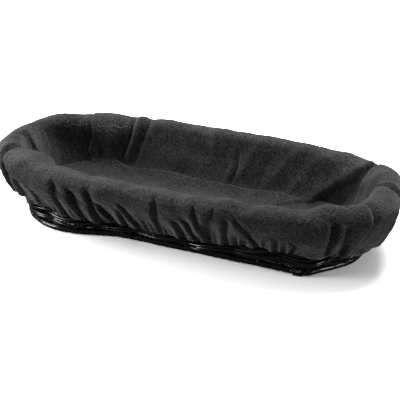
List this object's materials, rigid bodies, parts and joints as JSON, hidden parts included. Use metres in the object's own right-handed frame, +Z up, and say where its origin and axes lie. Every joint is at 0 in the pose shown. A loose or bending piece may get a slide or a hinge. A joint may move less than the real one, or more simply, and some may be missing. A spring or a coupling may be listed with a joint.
{
  "type": "bread basket",
  "caption": "Low oval willow bread basket with a removable black cotton liner, its skirt folded over the rim and held by a hem elastic.",
  "frame": {"origin": "on the table, under the middle of the basket's box", "axes": "+X along the basket towards the end with the kinked base corners, +Y across it to the back, +Z up"},
  "size_m": [0.3953, 0.1806, 0.0674],
  "materials": {
    "lacquered_willow": "gloss black lacquer",
    "split_cane": "gloss black lacquer",
    "cotton_twill": "matte twill",
    "elastic": "matte braided"
  },
  "bodies": {
    "basket": {"base_frame": "lacquered_willow", "frame_binding": "split_cane", "base_slat_1": "lacquered_willow", "base_slat_2": "lacquered_willow", "base_slat_3": "lacquered_willow", "base_slat_4": "lacquered_willow", "base_slat_5": "lacquered_willow", "base_slat_6": "lacquered_willow", "base_slat_7": "lacquered_willow", "base_rod_1": "lacquered_willow", "base_rod_2": "lacquered_willow", "base_rod_3": "lacquered_willow", "base_rod_4": "lacquered_willow", "base_rod_5": "lacquered_willow", "base_rod_6": "lacquered_willow", "base_rod_7": "lacquered_willow", "stake_01": "lacquered_willow", "stake_02": "lacquered_willow", "stake_03": "lacquered_willow", "stake_04": "lacquered_willow", "stake_05": "lacquered_willow", "stake_06": "lacquered_willow", "stake_07": "lacquered_willow", "stake_08": "lacquered_willow", "stake_09": "lacquered_willow", "stake_10": "lacquered_willow", "stake_11": "lacquered_willow", "stake_12": "lacquered_willow", "stake_13": "lacquered_willow", "stake_14": "lacquered_willow", "stake_15": "lacquered_willow", "stake_16": "lacquered_willow", "stake_17": "lacquered_willow", "stake_18": "lacquered_willow", "weaver_1a": "lacquered_willow", "weaver_1b": "lacquered_willow", "weaver_2a": "lacquered_willow", "weaver_2b": "lacquered_willow", "weaver_3a": "lacquered_willow", "weaver_3b": "lacquered_willow", "weaver_4a": "lacquered_willow", "weaver_4b": "lacquered_willow", "weaver_5a": "lacquered_willow", "weaver_5b": "lacquered_willow", "weaver_6a": "lacquered_willow", "weaver_6b": "lacquered_willow", "rim_hoop_outer": "lacquered_willow", "rim_hoop_inner": "lacquered_willow", "rim_lashing": "split_cane"},
    "liner": {"liner_front_wall": "cotton_twill", "liner_front_skirt": "cotton_twill", "liner_right_end_wall": "cotton_twill", "liner_right_end_skirt": "cotton_twill", "liner_back_wall": "cotton_twill", "liner_back_skirt": "cotton_twill", "liner_left_end_wall": "cotton_twill", "liner_left_end_skirt": "cotton_twill", "hem_elastic": "elastic", "liner_floor": "cotton_twill"}
  },
  "joints": [
    {"name": "liner_lift", "type": "slide", "parent": "basket", "child": "liner", "axis": [0, 0, 1], "range_m": [0, 0.1], "deforming": ["liner_front_skirt", "liner_right_end_skirt", "liner_back_skirt", "liner_left_end_skirt", "hem_elastic"]}
  ]
}
